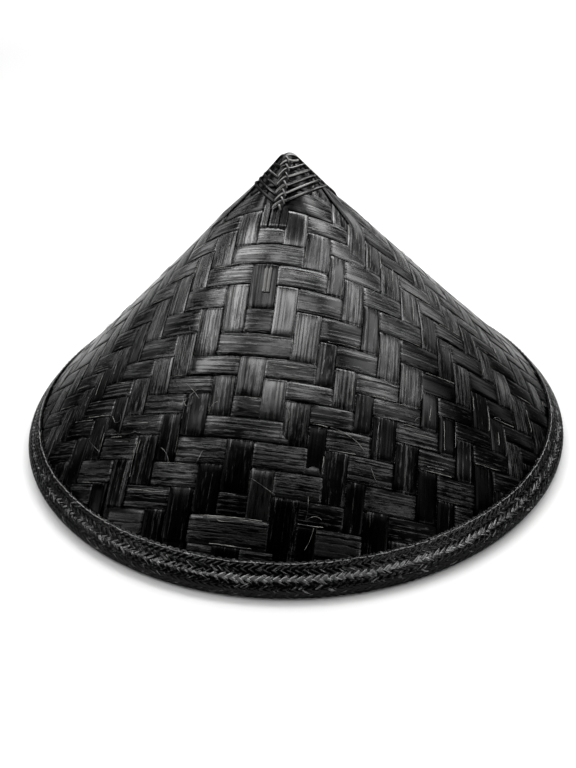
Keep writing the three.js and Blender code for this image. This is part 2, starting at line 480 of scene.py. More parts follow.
def sweep(ribbons, places, normals, half_width, half_height, section, seed, tone=0.0):
    """Carries a section along places. Its width and height may change along the way."""
    along = unit(np.gradient(places, axis=0))
    across = unit(np.cross(along, normals))
    lift = unit(np.cross(across, along))
    rows = len(places)
    width = np.broadcast_to(half_width, (rows,))[:, None] * section[0]
    height = np.broadcast_to(half_height, (rows,))[:, None] * section[1]
    ring = places[:, None] + across[:, None] * width[..., None] + lift[:, None] * height[..., None]
    travelled = np.concatenate([[0], np.linalg.norm(np.diff(places, axis=0), axis=1).cumsum()])
    ribbons.add(ring, width, travelled, seed, tone)


def sweep_over(ribbons, surface, where, height, half_width, half_height, section, seed, tone=0.0):
    """Carries a section along places at a height over a surface. where is what else it takes."""
    places = surface(*where, height)
    above = surface(*where, height + 1)
    sweep(ribbons, places, above - places, half_width, half_height, section, seed, tone)


def lay(ribbons, seam, path, half_width, half_height, seed, step, section=FLAT_STRAND, tone=0.0):
    """Lays a strand on the crown. path holds (across the seam, along the seam, height)."""
    across, along, height = smooth_path(path, step).T
    sweep_over(ribbons, on_mat, (seam, across, along), height, half_width, half_height, section, seed, tone)


def on_seam(seam, along_seam, height):
    """As on_mat, for places on the seam itself. One across the tip has a negative distance."""
    return around(crown_profile(along_seam, height), np.full(np.shape(along_seam), seam * SEAM_TURN))


# The braided band: strands that run both ways down the band, each over two and under two,
# so that its rows of stitches lie parallel to the rim.
BRAID_STRANDS = 267
BRAID_SLOPE = math.radians(30)
BRAID_PITCH = 2 * math.pi * RIM_RADIUS / BRAID_STRANDS
CROSSING_DROP = BRAID_PITCH * math.tan(BRAID_SLOPE) / 2
STRAND_REACH = 0.28  # how far a strand rises and falls
STRAND_HALF_THICK = 0.2
STRAND_CLEARANCE = 0.06
STRAND_HALF_WIDTH = BRAID_PITCH * math.sin(BRAID_SLOPE) / 2 - STRAND_CLEARANCE
SLOT_DEPTH = CROWN_WALL + FIT_GAP
INSIDE_DEPTH = SLOT_DEPTH + BAND_WALL / 2
SOLE_HEIGHT = 0.7
SOLE_RADII = (198.6, 196.9)
PATH_STEP = 0.25
SMOOTHED_OVER = 7  # each point of the path is the mean of this many


def band_path():
    """The middle of the band's thickness, as rows of (way down the band, radius, height)."""
    outside = [behind_band(share, band_thickness(share) / 2) for share in np.linspace(0, 0.96, 25)]
    sole = [np.array([radius, SOLE_HEIGHT]) for radius in SOLE_RADII]
    inside = [under_band(share, INSIDE_DEPTH) for share in np.linspace(0.93, 0.05, 20)]
    upper = [crown_profile(SIDE_LENGTH - back, -INSIDE_DEPTH) for back in (2, 7, BAND_INSIDE_REACH)]
    points = smooth_path(np.array(outside + sole + inside + upper), 2 * PATH_STEP)
    gaps = np.linalg.norm(np.diff(points, axis=0), axis=1)
    way = np.concatenate([[0], gaps.cumsum()])
    even = np.arange(0, way[-1], PATH_STEP)
    window = np.ones(SMOOTHED_OVER) / SMOOTHED_OVER
    soft = []
    for line in points.T:
        padded = np.pad(np.interp(even, way, line), SMOOTHED_OVER // 2, mode="edge")
        soft.append(np.convolve(padded, window, mode="valid"))
    return np.stack([even, *soft], axis=-1)


BAND_PATH = band_path()
BAND_LENGTH = BAND_PATH[-1, 0]
SLOPE_REACH = 0.3  # the path's direction is taken over this much either side


def band_middle(way):
    """Radius and height of the middle of the band's thickness, by the way down the band."""
    return [np.interp(way, BAND_PATH[:, 0], line) for line in (BAND_PATH[:, 1], BAND_PATH[:, 2])]


def on_band(way, turn, height):
    """A point over the middle of the band, by its way down the band and its turn round the hat."""
    radius, level = band_middle(way)
    radius_ahead, level_ahead = band_middle(way + SLOPE_REACH)
    radius_back, level_back = band_middle(way - SLOPE_REACH)
    run = radius_ahead - radius_back
    fall = level_ahead - level_back
    size = np.hypot(run, fall)
    radius = radius - fall / size * height
    level = level + run / size * height
    angle = turn + FRONT_DIRECTION
    return np.stack([radius * np.cos(angle), radius * np.sin(angle), level], axis=-1)


BRAID_SECTION = (np.array([-1, -0.5, 0.5, 1, 0]), np.array([-0.1, 1, 1, -0.1, -0.9]))
BRAID_STEPS = 2  # rows of points from one crossing to the next
EDGE_DIP, EDGE_DIP_WAY = 0.35, 1.6  # the strands lie lower where the band starts
LOOSE_REACH, LOOSE_SPAN = 0.05, 11
SLIP_REACH, SLIP_SPAN = 0.16, 17
BAND_TONE = -2.5
GRAIN_TONE = 1.2  # each stitch of the braid is paler or darker by up to this
BAND_HIGHLIGHT_TONE = 6.5  # painted highlight: the strands are paler by this on one row of stitches
HIGHLIGHT_ROW, HIGHLIGHT_ROW_HALF = 9.8, 1.35  # that row's way down the band
HIGHLIGHT_TURN, HIGHLIGHT_TURN_HALF = 0.25, 0.5  # the painted highlight is brightest at this turn from the front
HIGHLIGHT_ALL_ROUND = 0.35  # the share of it that runs all the way round


def braid_strands(direction, numbers):
    """Strands of one direction. A strand's height follows which crossings it passes over."""
    ribbons = Ribbons()
    rng = np.random.default_rng(300 + direction)
    rows = int(BAND_LENGTH / CROSSING_DROP * BRAID_STEPS)
    way = np.arange(rows + 1) * CROSSING_DROP / BRAID_STEPS
    phase = np.pi / 2 * (way / CROSSING_DROP - 0.5)
    stitch = (way / CROSSING_DROP / 2).astype(int)
    dip = EDGE_DIP * (1 - smoothstep(way, 0, EDGE_DIP_WAY))
    near_row = np.exp(-((way - HIGHLIGHT_ROW) / HIGHLIGHT_ROW_HALF) ** 2)
    for number in numbers:
        loose = wander(rng, LOOSE_REACH, LOOSE_SPAN)(way)
        height = direction * STRAND_REACH * np.cos(phase) + loose - dip
        slip = wander(rng, SLIP_REACH, SLIP_SPAN)(way)
        place = number + direction * way / CROSSING_DROP / 2 + slip / BRAID_PITCH
        turn = place * 2 * np.pi / BRAID_STRANDS
        seed = number * 0.731 + direction * 3.7
        # Painted highlight along one row of the braid
        near_front = np.exp(-(np.angle(np.exp(1j * (turn - HIGHLIGHT_TURN))) / HIGHLIGHT_TURN_HALF) ** 2)
        painted_highlight = BAND_HIGHLIGHT_TONE * near_row * (HIGHLIGHT_ALL_ROUND + (1 - HIGHLIGHT_ALL_ROUND) * near_front)
        stitch_tones = rng.uniform(-GRAIN_TONE, GRAIN_TONE, rows)
        tone = BAND_TONE + stitch_tones[stitch] + painted_highlight
        sweep_over(ribbons, on_band, (way, turn), height, STRAND_HALF_WIDTH, STRAND_HALF_THICK,
                   BRAID_SECTION, seed, tone)
    return ribbons


STITCHES = 242
STITCH_LENGTH = 0.82  # lengths and places along the thread are shares of the pitch
LENGTH_JITTER = 0.08
PLACE_JITTER = 0.05
THREAD_HALF = 0.33
THREAD_WAY = 1.0  # how far down the band it runs
WAY_JITTER = 0.25
SLANT_JITTER = 0.35
THREAD_LIFT = 0.85
THREAD_DIVE = 0.5  # how far a stitch's ends go down


def edge_stitches():
    """The thread that sews the band's upper edge down, in short running stitches."""
    ribbons = Ribbons()
    rng = np.random.default_rng(400)
    for number in range(STITCHES):
        share = np.linspace(0, 1, 7)
        length = STITCH_LENGTH + rng.uniform(-LENGTH_JITTER, LENGTH_JITTER)
        place = number + (share - 0.5) * length + rng.uniform(-PLACE_JITTER, PLACE_JITTER)
        turn = place * 2 * np.pi / STITCHES
        way = THREAD_WAY + rng.uniform(-WAY_JITTER, WAY_JITTER)
        way = way + (share - 0.5) * rng.uniform(-SLANT_JITTER, SLANT_JITTER)
        lift = THREAD_LIFT - THREAD_DIVE * np.abs(2 * share - 1) ** 3
        seed = number * 0.37
        sweep_over(ribbons, on_band, (way, turn), lift, THREAD_HALF, THREAD_HALF, ROUND_STRAND, seed)
    return ribbons


# The bound tip. Three split canes lie on the seams, and a flat strand winds round them.
RIB_WIDTH = 6.4
RIB_HEIGHT = 1.4
# By seam: each rib's two hidden ends, as distances down the side, and its tone.
# The right rib starts across the tip. The front one ends sooner, and its tone is painted shade under the
# lashing.
RIB_STARTS = (1.6, -4.5, 1.6)
RIB_ENDS = (46, 52, 52)
RIB_SHADE_TONES = (-5, 0, -2)
RIB_ROWS = 36
RIB_SINK = 1.7  # how far the hidden ends go down under what covers them
SINK_AT_START, SINK_AT_END = 4, 6  # the lengths over which they do
RIB_TAPER = 0.45
RIB_SECTION = (np.array([-1, -0.96, -0.7, -0.3, 0, 0.3, 0.7, 0.96, 1, 0.9, -0.9]),
               np.array([-0.4, 0.35, 0.85, 1, 0.9, 1, 0.85, 0.35, -0.4, -2.2, -2.2]))


def ribs():
    ribbons = Ribbons()
    for seam in (FRONT, RIGHT, LEFT):
        start, end = RIB_STARTS[seam], RIB_ENDS[seam]
        along = np.linspace(start, end, RIB_ROWS)
        sunk = smoothstep(along, end - SINK_AT_END, end)
        sunk += 1 - smoothstep(along, start, start + SINK_AT_START)
        height = FIT_GAP + RIB_HEIGHT / 2 - RIB_SINK * sunk
        half_width = RIB_WIDTH / 2 * (1 - RIB_TAPER * sunk)
        sweep_over(ribbons, on_seam, (seam, along), height, half_width, RIB_HEIGHT / 2, RIB_SECTION,
                   70.3 + seam, RIB_SHADE_TONES[seam])
    return ribbons


# The lashing. From the right seam it runs straight to the front rib, slants down across that,
# runs straight to the left seam and on round the back to the next turn.
LASHING = (
    # distances down the seams: right of the front rib, left of it, at the left rib, at the right rib
    (8.6, 12.8, 14.5, 15),
    (14.2, 21.2, 20, 21),
    (20, 27, 25.5, 26.8),
    (25.9, 32.7, 31, 32.6),
    (31.6, 38, 36.2, 38.2),
    (37.2, 42.4, None, None),
)
STRAND_HALF = 1.0
STRAND_HALF_HIGH = 0.48
STRAND_STEP = 0.9
STRAND_SLACK = 0.1  # the strand lies this share further from the tip in the middle of a panel
LEFT_SHADE_TONE = -3  # painted shade: the strand is darker left of the front rib, where less light falls
RIB_EDGE = 3.7  # how far from a seam the strand leaves its rib

# Heights of the strand's middle over the cone
RIB_TOP = FIT_GAP + RIB_HEIGHT
OVER_RIB = RIB_TOP + STRAND_HALF_HIGH
BESIDE_RIB = 1.2
ON_PANEL = 0.9
IN_RIB = 0.2
OPEN_PANEL = [ON_PANEL] * 7

# Where the strand slants over the front rib: across it, share of the way down, and height
OVER_FRONT_RIB = (
    (2.6, 0.06, OVER_RIB - 0.2),
    (0.4, 0.26, OVER_RIB),
    (-1.9, 0.6, OVER_RIB),
    (-3.6, 0.9, OVER_RIB - 0.4),
)


def chord(start, end, heights):
    """Points straight across a panel between two seams, short of the ribs on both."""
    shares = np.linspace(0, 1, len(heights))
    from_point = np.array([RIB_EDGE, start])
    to_point = np.array([end, RIB_EDGE])
    line = from_point + (to_point - from_point) * shares[:, None]
    line *= 1 + STRAND_SLACK * np.sin(np.pi * shares)[:, None]
    return np.column_stack([line, heights])


def lashing():
    ribbons = Ribbons()
    from_open_rib = [BESIDE_RIB, *OPEN_PANEL, IN_RIB]
    between_hidden = [IN_RIB, *OPEN_PANEL, IN_RIB]
    places = []
    above = []
    tones = []

    def follow(seam, points, tone=0.0):
        across, along, height = np.array(points).T
        places.append(on_mat(seam, across, along, height))
        above.append(on_mat(seam, across, along, height + 1))
        tones.append(np.full(len(height), tone))

    at_right_rib = LASHING[0][0] + 1
    for right, left, at_left_rib, next_right_rib in LASHING:
        follow(FRONT, chord(right, at_right_rib, from_open_rib)[::-1])
        slant = [(across, right + (left - right) * share, high) for across, share, high in OVER_FRONT_RIB]
        follow(FRONT, slant)
        if at_left_rib:
            follow(LEFT, chord(at_left_rib, left, from_open_rib[::-1])[::-1], LEFT_SHADE_TONE)
            follow(RIGHT, chord(next_right_rib, at_left_rib, between_hidden)[::-1])
            at_right_rib = next_right_rib
    path = np.vstack(places)
    lift = np.vstack(above) - path
    tone = np.concatenate(tones)[:, None]
    fine = smooth_path(np.hstack([path, lift, tone]), STRAND_STEP)
    sweep(ribbons, fine[:, :3], fine[:, 3:6], STRAND_HALF, STRAND_HALF_HIGH, FLAT_STRAND, 80.9, fine[:, 6])
    return ribbons


KNOT_HALF, KNOT_STEP, KNOT_TONE = 0.65, 0.5, 1.5
STROKE_SIZE, STROKE_STEP, STROKE_TONE = (0.5, 0.4), 0.6, -2
LOOP_HALF = 0.52
KNOT_SIDE = 1.6  # the knots lie this far beside the front rib's middle, but less at the tip
KNOT_TOP = OVER_RIB + 0.6

# Each as (across, distance after the turn's place on the rib, height)
KNOT = np.array([(-0.9, -1.9, RIB_TOP), (-0.2, -1.2, KNOT_TOP), (0.9, 0.5, KNOT_TOP), (1.7, 1.8, 0.9)])
STROKE_FROM_RIGHT = np.array([(1.4, 3.4, OVER_RIB - 0.3), (-0.6, 4.6, OVER_RIB)])
STROKE_TO_LEFT = np.array([(-2.6, 1, OVER_RIB - 0.2), (-3.8, 2.2, 0.9)])
LAST_KNOT = np.array([(0.2, -1.6, OVER_RIB), (0.8, -0.5, KNOT_TOP), (1.5, 1.1, 0.6)])
# The loop beside the right rib runs down it, and lies across from the front seam
LOOP = np.array([(-0.9, RIB_EDGE + 0.5, 0.7), (0.4, RIB_EDGE, 1.3), (1.9, RIB_EDGE, 1.2),
                 (3.1, RIB_EDGE, 0.6)])


def tip_knots():
    """Short strands that hold the lashing down beside the front and right ribs."""
    ribbons = Ribbons()
    for turn, (right, left, _, right_rib) in enumerate(LASHING):
        knot = KNOT + (min(KNOT_SIDE, 0.2 + turn), right, 0)
        lay(ribbons, FRONT, knot, KNOT_HALF, KNOT_HALF, 90.1 + turn, KNOT_STEP, tone=KNOT_TONE)
        stroke = np.vstack([STROKE_FROM_RIGHT + (0, right, 0), STROKE_TO_LEFT + (0, left, 0)])
        lay(ribbons, FRONT, stroke, *STROKE_SIZE, 93.1 + turn, STROKE_STEP, tone=STROKE_TONE)
        if right_rib:
            loop = LOOP + (right_rib, 0, 0)
            lay(ribbons, FRONT, loop, LOOP_HALF, LOOP_HALF, 98.1 + turn, STROKE_STEP, tone=KNOT_TONE)
    last = LAST_KNOT + (0, LASHING[-1][1], 0)
    lay(ribbons, FRONT, last, KNOT_HALF * 1.4, KNOT_HALF, 108.3, KNOT_STEP, tone=KNOT_TONE)
    return ribbons


# Beside the front rib the seam strip shows three narrow ends, and lower down the rib's own end.
NARROW_SECTION = (np.array([-1, -0.9, -0.4, 0, 0.4, 0.9, 1, 0]),
                  np.array([-0.2, 0.8, 1, 1, 1, 0.8, -0.2, -1]))
NARROW_ENDS = (
    # left edge, right edge and top of each narrow strip
    (-10.4, -6.1, 38.5),
    (-4.5, -1.35, 43),
    (-1.05, 1.9, 43.4),
    (2.9, 7.1, 40.5),
)
NARROW_HIDDEN_TO = NARROW_TO + 4
NARROW_HALF_HEIGHT = 0.45
NARROW_SINK = 1.3
NARROW_POINT = 0.25  # the share of its width that a strip has at its top
NARROW_TONE = 1.2
TAIL_HALF_WIDTH, TAIL_HALF_HEIGHT = 2.7, 0.85
TAIL_MIDDLE = -0.3
TAIL_SINK = 2.1
TAIL_TONE, TAIL_EMERGING_SHADE = 5, 16  # it is darker by the second, as painted shade, where it comes out of the weave


def narrow_ends():
    ribbons = Ribbons()
    for number, (left, right, top) in enumerate(NARROW_ENDS):
        along = np.linspace(top, NARROW_HIDDEN_TO, 26)
        across = np.full_like(along, (left + right) / 2)
        height = NARROW_HALF_HEIGHT - NARROW_SINK * smoothstep(along, NARROW_TO - 2, NARROW_TO + 2)
        widening = smoothstep(along, top - 1.5, top + 3.5)
        half = (right - left) / 2 * (NARROW_POINT + (1 - NARROW_POINT) * widening)
        sweep_over(ribbons, on_mat, (FRONT, across, along), height, half, NARROW_HALF_HEIGHT,
                   NARROW_SECTION, 110.3 + number, NARROW_TONE)
    return ribbons


def rib_tail():
    """The end of the front rib, split along its middle."""
    ribbons = Ribbons()
    along = np.linspace(TAIL_FROM, TAIL_TO, 20)
    height = TAIL_HALF_HEIGHT - TAIL_SINK * (1 - smoothstep(along, TAIL_FROM + 1.5, TAIL_FROM + 6))
    # Painted shade where the tail comes out from under the weave
    tone = TAIL_TONE - TAIL_EMERGING_SHADE * (1 - smoothstep(along, TAIL_FROM + 3, TAIL_FROM + 7))
    half = TAIL_HALF_WIDTH / 2
    for side in (-1, 1):
        across = np.full_like(along, TAIL_MIDDLE + side * half)
        sweep_over(ribbons, on_mat, (FRONT, across, along), height, half, TAIL_HALF_HEIGHT, FLAT_STRAND,
                   120.3 + side, tone)
    return ribbons


# Strips near the tip that fold over at a slant before they follow the weave
FOLDED_PATHS = (
    # seam of the panel, then (across, along) down the middle of the strip
    (FRONT, ((30, 3), (39.5, 13), (50, 24), (58.5, 33.5), (60.4, 42), (60.2, 55), (60.1, 69))),
    (LEFT, ((3, 24), (15, 33.5), (27.5, 46), (33, 53), (34, 60), (34.2, 76))),
    (RIGHT, ((6, 34), (17, 42.5), (29, 55), (34, 62), (34.5, 70), (34.5, 84))),
)
FOLDED_TONES = (1.8, 0, 0)
FOLDED_HALF_WIDTH, FOLDED_HALF_HEIGHT = 6.2, 0.26
FOLDED_HEIGHT = 0.15
FOLDED_DIVE = (0.05, -0.8)  # heights of its last two points, which go under the weave
FOLDED_STEP = 1.5


def folded_strips():
    ribbons = Ribbons()
    for number, (seam, middle) in enumerate(FOLDED_PATHS):
        points = np.array([(across, along, FOLDED_HEIGHT) for across, along in middle])
        points[-2:, 2] = FOLDED_DIVE
        lay(ribbons, seam, points, FOLDED_HALF_WIDTH, FOLDED_HALF_HEIGHT, 130.3 + number, FOLDED_STEP,
            NARROW_SECTION, FOLDED_TONES[number])
    return ribbons


# Split fibres that stand off the strips, and stray hairs
SLIVERS = 260
SLIVER_HALF = (0.12, 0.22)
SLIVER_LIFT = 0.22  # over the crown's outer face
SLIVER_SPAN = (0.25, 0.8)  # share of a float that it runs along
SLIVER_DRIFT = 0.5
SLIVER_STEP, HAIR_STEP = 1.5, 0.9
HAIR_PATHS = (
    # (across, along) the front seam, for the hairs that the photograph shows best
    ((-47.6, 161), (-41, 165.5), (-35, 171)),
    ((-34, 163), (-40, 167), (-46, 174)),
    ((-47, 172), (-44, 176), (-39.5, 174), (-40, 170)),
    ((53, 180), (62, 182), (71, 186.5), (76, 191)),
    ((-106, 181), (-101, 186), (-97, 184.5), (-98, 180.5)),
)
HAIRS = 45
HAIR_HALF = 0.1
HAIR_PLACES = (0.05, 0.85)  # shares of the mat's area, from the tip outwards
HAIR_PIECE = (1.5, 4.5)


def slivers():
    ribbons = Ribbons()
    rng = np.random.default_rng(500)
    for number in range(SLIVERS):
        family = int(rng.integers(3))
        edges = STRIP_EDGES[family]
        row = int(rng.integers(2, len(edges)))
        reach = math.sqrt(max(0, MAT_END**2 - edges[row] ** 2)) - STRIP_PITCH
        runs = floats(crossings(family, row))
        upper = [run for run in runs if run[2] == 1 and max(-run[0], run[1]) < reach]
        if not upper:
            continue
        low, high, _ = upper[rng.integers(len(upper))]
        span = rng.uniform(*SLIVER_SPAN) * (high - low)
        start = rng.uniform(low, high - span)
        beside = rng.choice([0.06, 0.94, rng.uniform(0.1, 0.9)])
        down = edges[row - 1] + beside * (edges[row] - edges[row - 1])
        drift = rng.uniform(-SLIVER_DRIFT, SLIVER_DRIFT, 4).cumsum()
        lifts = SLIVER_LIFT + np.array([-0.3, 0, rng.uniform(0, 0.25), rng.uniform(-0.1, 0.3)])
        shares = np.array([0, 0.15, 0.6, 1])
        path = np.column_stack([start + span * shares, down + drift, lifts])
        half = rng.uniform(*SLIVER_HALF)
        lay(ribbons, family, path, half, half * 0.7, number * 0.83, SLIVER_STEP, ROUND_STRAND)
    for number, middle in enumerate(HAIR_PATHS):
        path = np.column_stack([middle, SLIVER_LIFT + np.linspace(0, 0.7, len(middle))])
        lay(ribbons, FRONT, path, HAIR_HALF * 1.4, HAIR_HALF, number * 0.57, HAIR_STEP, ROUND_STRAND)
    for number in range(HAIRS):
        family = int(rng.integers(3))
        distance = MAT_END * math.sqrt(rng.uniform(*HAIR_PLACES))
        turn = rng.uniform(-0.5, 0.5) * PANEL_CORNER
        place = distance * np.array([math.sin(turn), math.cos(turn)])
        heading = rng.uniform(0, 2 * np.pi) + rng.uniform(-1, 1) * np.array([0, 0.3, 0.7, 1.3])
        steps = rng.uniform(*HAIR_PIECE) * np.column_stack([np.cos(heading), np.sin(heading)])
        points = np.vstack([place, place + steps.cumsum(axis=0)])
        lifts = SLIVER_LIFT + np.array([-0.3, 0.5, 0.9, 0.6, 0.1])
        path = np.column_stack([points, lifts])
        lay(ribbons, family, path, HAIR_HALF, HAIR_HALF, number * 0.91, HAIR_STEP, ROUND_STRAND)
    return ribbons


# Finishes
SEED_SCALE = 7.3  # sets the grain of strips with nearby seeds well apart


def node(tree, kind, **values):
    made = tree.nodes.new(kind)
    for key, value in values.items():
        setattr(made, key, value)
    return made


def set_inputs(made, values):
    for label, value in values.items():
        made.inputs[label].default_value = value


def math_node(tree, operation, first, second):
    made = node(tree, "ShaderNodeMath", operation=operation)
    for socket, value in zip(made.inputs, (first, second)):
        if isinstance(value, (int, float)):
            socket.default_value = value
        else:
            tree.links.new(value, socket)
    return made.outputs[0]


def ramp(tree, value, low, high, from_low=0.0, from_high=1.0):
    made = node(tree, "ShaderNodeMapRange")
    tree.links.new(value, made.inputs["Value"])
    set_inputs(made, {"From Min": from_low, "From Max": from_high, "To Min": low, "To Max": high})
    return made.outputs[0]


def streaks(tree, source, across, along, detail=1.0, roughness=0.5):
    """Noise drawn out along the fibres. across and along are its sizes, in the source's unit."""
    scale = node(tree, "ShaderNodeVectorMath", operation="MULTIPLY")
    tree.links.new(source, scale.inputs[0])
    scale.inputs[1].default_value = (1 / across, 1 / along, SEED_SCALE)
    noise = node(tree, "ShaderNodeTexNoise", noise_dimensions="3D")
    tree.links.new(scale.outputs[0], noise.inputs["Vector"])
    set_inputs(noise, {"Scale": 1, "Detail": detail, "Roughness": roughness})
    return noise.outputs["Fac"]


TONE_WEIGHT = 0.05  # how far one unit of tone moves the grain against the edges of its lines
LINE_EDGES = (0.46, 0.54)
RIM_SHADE = 0.9  # painted shade along a strip's rims: how dark they are
CRACK_SIZE, CRACK_WIDTH = (3.2, 170), 0.07
CRACKED_PATCHES = (0.4, 0.54)
PATCH_SIZE = (9, 24)
WORN_PATCHES = (0.35, 0.65)
DEEP_SHADE_SHINE, DEEP_SHADE_RANGE = 0.15, (-5, -3)  # painted shade: shine between the streaks drops to this on the lowest tones, which are painted shade under the lashing
SHADE_WAY = (-0.088, 0.39, 0.59)  # painted shade: the strips shine least low down at the front
SHADE_RANGE = (-0.055, 0.05)
DULL_RANGE = (-0.035, 0.065)
BLOTCH_SIZE, BLOTCH_MIDDLE, BLOTCH_REACH = (0.03, 0.03), 0.54, 0.16  # the painted shade ends in blotches
EDGE_TINT = 0.35  # keeps the strips from shining where they are seen edge-on
FIBRE_IOR = 1.9


def fibre_finish(name, dark, light, fine, coarse, relief, rough=(0.3, 0.5), anisotropic=0.0, cracks=0.0,
                 border=(0.88, 0.97), specular=0.5, dull=0.3, shaded_dull=None, shaded_shine=1.0):
    """Black split bamboo or cane, with streaks of two sizes, fine and coarse, as (across, along).
    dull is the shine between the streaks. Low at the front, as painted shade, it drops to a lower value,
    and all shine fades."""
    material = bpy.data.materials.new(name)
    material.use_nodes = True
    tree = material.node_tree
    link = tree.links.new
    shader = tree.nodes["Principled BSDF"]
    source = node(tree, "ShaderNodeAttribute", attribute_name="fibre").outputs["Vector"]
    tone = node(tree, "ShaderNodeAttribute", attribute_name="tone").outputs["Fac"]
    edge = node(tree, "ShaderNodeAttribute", attribute_name="edge").outputs["Fac"]
    plus = partial(math_node, tree, "ADD")
    minus = partial(math_node, tree, "SUBTRACT")
    times = partial(math_node, tree, "MULTIPLY")

    # Streaks, as bright and dark lines along the fibres. A higher tone has more of them.
    fine_noise = streaks(tree, source, *fine, detail=3.0, roughness=0.6)
    coarse_noise = streaks(tree, source, *coarse)
    grain = plus(times(fine_noise, 0.5), times(coarse_noise, 0.5))
    lines = ramp(tree, plus(grain, times(tone, TONE_WEIGHT)), 0, 1, *LINE_EDGES)

    # Hairline cracks, where a slow noise passes its middle value, on some of the strips
    crack_noise = streaks(tree, source, *CRACK_SIZE)
    off_middle = math_node(tree, "ABSOLUTE", minus(crack_noise, 0.5), 0)
    crack = ramp(tree, off_middle, 1, 0, CRACK_WIDTH / 3, CRACK_WIDTH)
    cracked = ramp(tree, streaks(tree, source, *PATCH_SIZE), 0, cracks, *CRACKED_PATCHES)
    crack = times(crack, cracked)
    # Painted shade along each strip's rims
    rim = ramp(tree, edge, 0, RIM_SHADE, *border)
    unshaded = minus(1, math_node(tree, "MAXIMUM", crack, rim))

    colour = node(tree, "ShaderNodeMix", data_type="RGBA")
    set_inputs(colour, {"A": (dark, dark, dark, 1), "B": (*light, 1)})
    link(times(lines, unshaded), colour.inputs["Factor"])
    link(colour.outputs["Result"], shader.inputs["Base Color"])

    worn = plus(times(streaks(tree, source, *PATCH_SIZE, detail=2.0), 0.4), times(fine_noise, 0.6))
    link(ramp(tree, worn, *rough, *WORN_PATCHES), shader.inputs["Roughness"])

    # The dye is matt between the streaks and in the cracks. A black metal reflects nothing there.
    if shaded_dull is None:
        shine = ramp(tree, lines, dull, 1)
    else:
        # Painted shade: low at the front the shine between the streaks drops and all shine fades, with
        # blotchy edges
        place = node(tree, "ShaderNodeTexCoord").outputs["Object"]
        way = node(tree, "ShaderNodeVectorMath", operation="DOT_PRODUCT")
        link(place, way.inputs[0])
        way.inputs[1].default_value = SHADE_WAY
        blotch = minus(streaks(tree, place, *BLOTCH_SIZE), BLOTCH_MIDDLE)
        level = plus(way.outputs["Value"], times(blotch, BLOTCH_REACH))
        between = ramp(tree, level, shaded_dull, dull, *DULL_RANGE)
        # Painted shade: the lowest tones lose the shine between the streaks
        deep_shade = ramp(tree, tone, DEEP_SHADE_SHINE, 1, *DEEP_SHADE_RANGE)
        rest = times(times(between, deep_shade), minus(1, lines))
        shine = times(plus(lines, rest), ramp(tree, level, shaded_shine, 1, *SHADE_RANGE))
    link(minus(1, times(shine, unshaded)), shader.inputs["Metallic"])
    tangent = node(tree, "ShaderNodeTangent", direction_type="UV_MAP", uv_map="grain")
    link(tangent.outputs["Tangent"], shader.inputs["Tangent"])
    set_inputs(shader, {"Anisotropic": anisotropic, "Specular IOR Level": specular, "IOR": FIBRE_IOR,
                        "Specular Tint": (EDGE_TINT, EDGE_TINT, EDGE_TINT, 1)})

    bump = node(tree, "ShaderNodeBump")
    set_inputs(bump, {"Strength": 1, "Distance": relief * MM})
    link(minus(plus(grain, lines), crack), bump.inputs["Height"])
    link(bump.outputs["Normal"], shader.inputs["Normal"])
    return material


bamboo = fibre_finish(
    "black_bamboo", dark=0.0003, light=(0.006, 0.0059, 0.0058), rough=(0.17, 0.3),
    anisotropic=0.4, fine=(0.9, 9), coarse=(1.5, 150), relief=0.045, cracks=0.6, border=(0.93, 0.99),
    specular=1.0, dull=0.62, shaded_dull=0.1, shaded_shine=0.24)
dry_fibre = fibre_finish(
    "dry_fibre", dark=0.02, light=(0.14, 0.138, 0.13),
    fine=(0.3, 5), coarse=(0.6, 9), relief=0.03)
braid = fibre_finish(
    "black_braid", dark=0.0006, light=(0.05, 0.05, 0.05), rough=(0.13, 0.26),
    anisotropic=0.3, fine=(0.5, 5), coarse=(1.1, 9), relief=0.1, specular=1.0, dull=0.15)
thread = fibre_finish(
    "waxed_thread", dark=0.05, light=(0.16, 0.16, 0.158),
    fine=(0.3, 0.9), coarse=(0.6, 2), relief=0.1)
cane = fibre_finish(
    "black_cane", dark=0.004, light=(0.06, 0.059, 0.057), rough=(0.2, 0.4),
    anisotropic=0.35, fine=(0.8, 40), coarse=(1.6, 70), relief=0.15)
# The strand's wide dark borders are painted shade along and under it
strand = fibre_finish(
    "cane_strand", dark=0.012, light=(0.15, 0.148, 0.145), rough=(0.2, 0.35),
    anisotropic=0.3, fine=(0.5, 14), coarse=(0.8, 26), relief=0.06, border=(0.5, 0.85), dull=0.12)

# The woven crown
for family, name in ((FRONT, "front"), (RIGHT, "right"), (LEFT, "left")):
    woven_rows(family).build("weave_" + name, bamboo, "bamboo_weave", ["crown"])
seam_strips().build("weave_seams", bamboo, "bamboo_weave", ["crown"])
folded_strips().build("weave_folds", bamboo, "bamboo_weave", ["crown"])
narrow_ends().build("weave_ends", bamboo, "bamboo_weave", ["crown"])
slivers().build("weave_slivers", dry_fibre, "bamboo_weave", ["crown"])

# The band
half_way = BRAID_STRANDS // 2
for direction, leaning in ((1, "right"), (-1, "left")):
    for part, numbers in (("a", range(half_way)), ("b", range(half_way, BRAID_STRANDS))):
        strands = braid_strands(direction, numbers)
        strands.build("band_" + leaning + "_strands_" + part, braid, "rim_braid", ["rim_band"])
edge_stitches().build("band_stitches", thread, "rim_braid", ["rim_band"])

# The bound tip
ribs().build("tip_ribs", cane, "tip_cane", ["tip_rib_front", "tip_rib_right", "tip_rib_left"])
lashing().build("tip_strand", strand, "tip_cane", ["tip_lashing"])
tip_knots().build("tip_knots", strand, "tip_cane", ["tip_lashing"])
rib_tail().build("rib_tail", cane, "tip_cane", ["rib_tail_front"])

